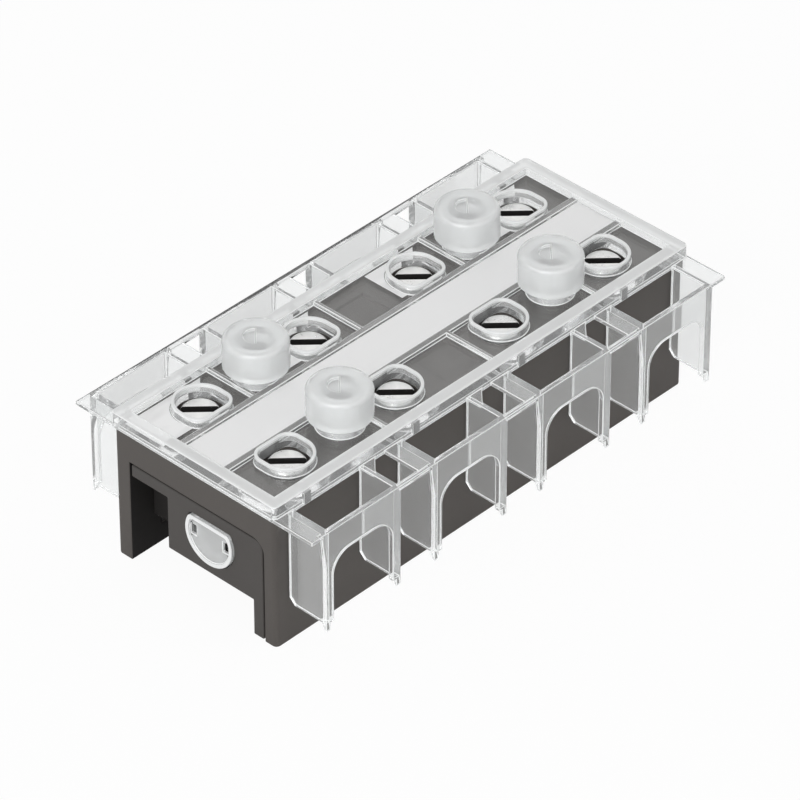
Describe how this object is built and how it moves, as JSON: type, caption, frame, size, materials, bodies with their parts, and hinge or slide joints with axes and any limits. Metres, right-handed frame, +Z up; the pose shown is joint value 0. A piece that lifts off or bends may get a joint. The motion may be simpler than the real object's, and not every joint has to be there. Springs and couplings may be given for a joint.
{
  "type": "power distribution block",
  "caption": "Rail-mounted block that feeds power conductors through covered screw terminals, with a clear lift-off cover and cable bays on both sides.",
  "frame": {"origin": "on the floor under the middle of the block", "axes": "+X along the rail, towards the far end; +Y across the rail, towards the side of the sliding feet; +Z up, away from the rail"},
  "size_m": [0.126, 0.0684, 0.0456],
  "materials": {
    "housing_plastic": "fine-textured dark grey moulded plastic",
    "carrier_plastic": "fine-textured dark grey moulded plastic",
    "clear_plastic": "clear moulded polycarbonate with bright edges",
    "frosted_plastic": "clear moulded plastic, slightly frosted",
    "label_white": "smooth white marking strip",
    "terminal_brass": "tin-plated brass",
    "screw_steel": "bright zinc-plated steel",
    "foot_plastic": "black moulded plastic"
  },
  "bodies": {
    "housing": {"base_housing": "housing_plastic", "rail_carrier": "carrier_plastic", "end_plug_near": "frosted_plastic", "end_plug_far": "frosted_plastic", "terminal_block_1": "terminal_brass", "terminal_block_2": "terminal_brass", "terminal_block_3": "terminal_brass", "terminal_block_4": "terminal_brass", "housing_screw_1": "screw_steel", "housing_screw_2": "screw_steel", "housing_screw_3": "screw_steel"},
    "cover": {"clear_cover": "clear_plastic", "label_strip": "label_white"},
    "knob_near_front": {"cover_knob_near_front": "frosted_plastic"},
    "knob_near_back": {"cover_knob_near_back": "frosted_plastic"},
    "knob_far_front": {"cover_knob_far_front": "frosted_plastic"},
    "knob_far_back": {"cover_knob_far_back": "frosted_plastic"},
    "pad_1_front": {"clamp_pad_1_front": "screw_steel"},
    "screw_1_front": {"clamp_screw_1_front": "screw_steel"},
    "pad_1_back": {"clamp_pad_1_back": "screw_steel"},
    "screw_1_back": {"clamp_screw_1_back": "screw_steel"},
    "pad_2_front": {"clamp_pad_2_front": "screw_steel"},
    "screw_2_front": {"clamp_screw_2_front": "screw_steel"},
    "pad_2_back": {"clamp_pad_2_back": "screw_steel"},
    "screw_2_back": {"clamp_screw_2_back": "screw_steel"},
    "pad_3_front": {"clamp_pad_3_front": "screw_steel"},
    "screw_3_front": {"clamp_screw_3_front": "screw_steel"},
    "pad_3_back": {"clamp_pad_3_back": "screw_steel"},
    "screw_3_back": {"clamp_screw_3_back": "screw_steel"},
    "pad_4_front": {"clamp_pad_4_front": "screw_steel"},
    "screw_4_front": {"clamp_screw_4_front": "screw_steel"},
    "pad_4_back": {"clamp_pad_4_back": "screw_steel"},
    "screw_4_back": {"clamp_screw_4_back": "screw_steel"},
    "foot_near": {"rail_foot_near": "foot_plastic"},
    "foot_far": {"rail_foot_far": "foot_plastic"}
  },
  "joints": [
    {"name": "cover_lift", "type": "slide", "parent": "housing", "child": "cover", "axis": [0, 0, 1], "range_m": [0, 0.03]},
    {"name": "knob_near_front_turn", "type": "hinge", "parent": "cover", "child": "knob_near_front", "pos_m": [-0.032, -0.0121, 0.0382], "axis": [0, 0, -1], "range_deg": [0, 90]},
    {"name": "knob_near_back_turn", "type": "hinge", "parent": "cover", "child": "knob_near_back", "pos_m": [-0.032, 0.0121, 0.0382], "axis": [0, 0, -1], "range_deg": [0, 90]},
    {"name": "knob_far_front_turn", "type": "hinge", "parent": "cover", "child": "knob_far_front", "pos_m": [0.032, -0.0121, 0.0382], "axis": [0, 0, -1], "range_deg": [0, 90]},
    {"name": "knob_far_back_turn", "type": "hinge", "parent": "cover", "child": "knob_far_back", "pos_m": [0.032, 0.0121, 0.0382], "axis": [0, 0, -1], "range_deg": [0, 90]},
    {"name": "pad_1_front_travel", "type": "slide", "parent": "housing", "child": "pad_1_front", "axis": [0, 0, -1], "range_m": [0, 0.004]},
    {"name": "screw_1_front_turn", "type": "hinge", "parent": "pad_1_front", "child": "screw_1_front", "pos_m": [-0.048, -0.0126, 0.03], "axis": [0, 0, -1], "range_deg": [0, 965]},
    {"name": "pad_1_back_travel", "type": "slide", "parent": "housing", "child": "pad_1_back", "axis": [0, 0, -1], "range_m": [0, 0.004]},
    {"name": "screw_1_back_turn", "type": "hinge", "parent": "pad_1_back", "child": "screw_1_back", "pos_m": [-0.048, 0.0126, 0.03], "axis": [0, 0, -1], "range_deg": [0, 965]},
    {"name": "pad_2_front_travel", "type": "slide", "parent": "housing", "child": "pad_2_front", "axis": [0, 0, -1], "range_m": [0, 0.004]},
    {"name": "screw_2_front_turn", "type": "hinge", "parent": "pad_2_front", "child": "screw_2_front", "pos_m": [-0.016, -0.0126, 0.03], "axis": [0, 0, -1], "range_deg": [0, 965]},
    {"name": "pad_2_back_travel", "type": "slide", "parent": "housing", "child": "pad_2_back", "axis": [0, 0, -1], "range_m": [0, 0.004]},
    {"name": "screw_2_back_turn", "type": "hinge", "parent": "pad_2_back", "child": "screw_2_back", "pos_m": [-0.016, 0.0126, 0.03], "axis": [0, 0, -1], "range_deg": [0, 965]},
    {"name": "pad_3_front_travel", "type": "slide", "parent": "housing", "child": "pad_3_front", "axis": [0, 0, -1], "range_m": [0, 0.004]},
    {"name": "screw_3_front_turn", "type": "hinge", "parent": "pad_3_front", "child": "screw_3_front", "pos_m": [0.016, -0.0126, 0.03], "axis": [0, 0, -1], "range_deg": [0, 965]},
    {"name": "pad_3_back_travel", "type": "slide", "parent": "housing", "child": "pad_3_back", "axis": [0, 0, -1], "range_m": [0, 0.004]},
    {"name": "screw_3_back_turn", "type": "hinge", "parent": "pad_3_back", "child": "screw_3_back", "pos_m": [0.016, 0.0126, 0.03], "axis": [0, 0, -1], "range_deg": [0, 965]},
    {"name": "pad_4_front_travel", "type": "slide", "parent": "housing", "child": "pad_4_front", "axis": [0, 0, -1], "range_m": [0, 0.004]},
    {"name": "screw_4_front_turn", "type": "hinge", "parent": "pad_4_front", "child": "screw_4_front", "pos_m": [0.048, -0.0126, 0.03], "axis": [0, 0, -1], "range_deg": [0, 965]},
    {"name": "pad_4_back_travel", "type": "slide", "parent": "housing", "child": "pad_4_back", "axis": [0, 0, -1], "range_m": [0, 0.004]},
    {"name": "screw_4_back_turn", "type": "hinge", "parent": "pad_4_back", "child": "screw_4_back", "pos_m": [0.048, 0.0126, 0.03], "axis": [0, 0, -1], "range_deg": [0, 965]},
    {"name": "foot_near_slide", "type": "slide", "parent": "housing", "child": "foot_near", "axis": [0, 1, 0], "range_m": [0, 0.0022], "stiffness_N_per_m": 800},
    {"name": "foot_far_slide", "type": "slide", "parent": "housing", "child": "foot_far", "axis": [0, 1, 0], "range_m": [0, 0.0022], "stiffness_N_per_m": 800}
  ],
  "couplings": [
    {"joint": "screw_1_front_turn", "follows": "pad_1_front_travel", "rad_per_m": 4188.8},
    {"joint": "screw_1_back_turn", "follows": "pad_1_back_travel", "rad_per_m": 4188.8},
    {"joint": "screw_2_front_turn", "follows": "pad_2_front_travel", "rad_per_m": 4188.8},
    {"joint": "screw_2_back_turn", "follows": "pad_2_back_travel", "rad_per_m": 4188.8},
    {"joint": "screw_3_front_turn", "follows": "pad_3_front_travel", "rad_per_m": 4188.8},
    {"joint": "screw_3_back_turn", "follows": "pad_3_back_travel", "rad_per_m": 4188.8},
    {"joint": "screw_4_front_turn", "follows": "pad_4_front_travel", "rad_per_m": 4188.8},
    {"joint": "screw_4_back_turn", "follows": "pad_4_back_travel", "rad_per_m": 4188.8}
  ]
}
